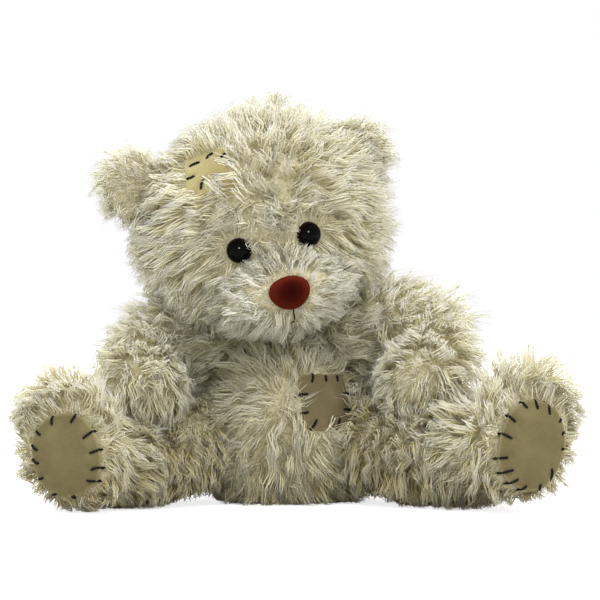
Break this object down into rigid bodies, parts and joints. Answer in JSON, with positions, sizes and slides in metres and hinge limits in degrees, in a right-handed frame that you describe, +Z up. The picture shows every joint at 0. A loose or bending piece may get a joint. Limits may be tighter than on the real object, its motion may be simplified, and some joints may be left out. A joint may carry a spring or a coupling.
{
  "type": "threadbare teddy bear",
  "caption": "Seated shaggy cream plush bear, worn, with suede foot pads, sewn-on suede patches, glossy dark eyes and a flocked nose.",
  "frame": {"origin": "on the floor, under the middle of the bear's bounding box", "axes": "+Z up, -Y the way the bear faces, +X towards the bear's own left"},
  "size_m": [0.256, 0.1328, 0.1854],
  "materials": {
    "shaggy_plush": "long matted cream pile with darker roots, thin in places",
    "muzzle_plush": "shorter, finer and paler pile",
    "stuffing_fibre": "loose polyester fibre",
    "suede": "tan suede cloth with a short nap and rubbed edges",
    "black_thread": "twisted black thread",
    "eye_plastic": "glossy, near black with a red-brown rim",
    "nose_flock": "flocked red-brown",
    "washer_plastic": "moulded white"
  },
  "bodies": {
    "root": {"torso_cover": "shaggy_plush", "head_cover": "shaggy_plush", "left_arm_cover": "shaggy_plush", "right_arm_cover": "shaggy_plush", "left_leg_cover": "shaggy_plush", "right_leg_cover": "shaggy_plush", "left_ear": "shaggy_plush", "right_ear": "shaggy_plush", "muzzle_cover": "muzzle_plush", "torso_filling": "stuffing_fibre", "head_filling": "stuffing_fibre", "left_arm_filling": "stuffing_fibre", "right_arm_filling": "stuffing_fibre", "left_leg_filling": "stuffing_fibre", "right_leg_filling": "stuffing_fibre", "left_foot_pad": "suede", "right_foot_pad": "suede", "belly_patch": "suede", "head_patch": "suede", "left_pad_thread": "black_thread", "right_pad_thread": "black_thread", "belly_patch_thread": "black_thread", "head_patch_thread": "black_thread", "mouth_thread": "black_thread", "left_eye": "eye_plastic", "right_eye": "eye_plastic", "nose": "nose_flock", "left_eye_washer": "washer_plastic", "right_eye_washer": "washer_plastic", "nose_washer": "washer_plastic"}
  },
  "joints": []
}
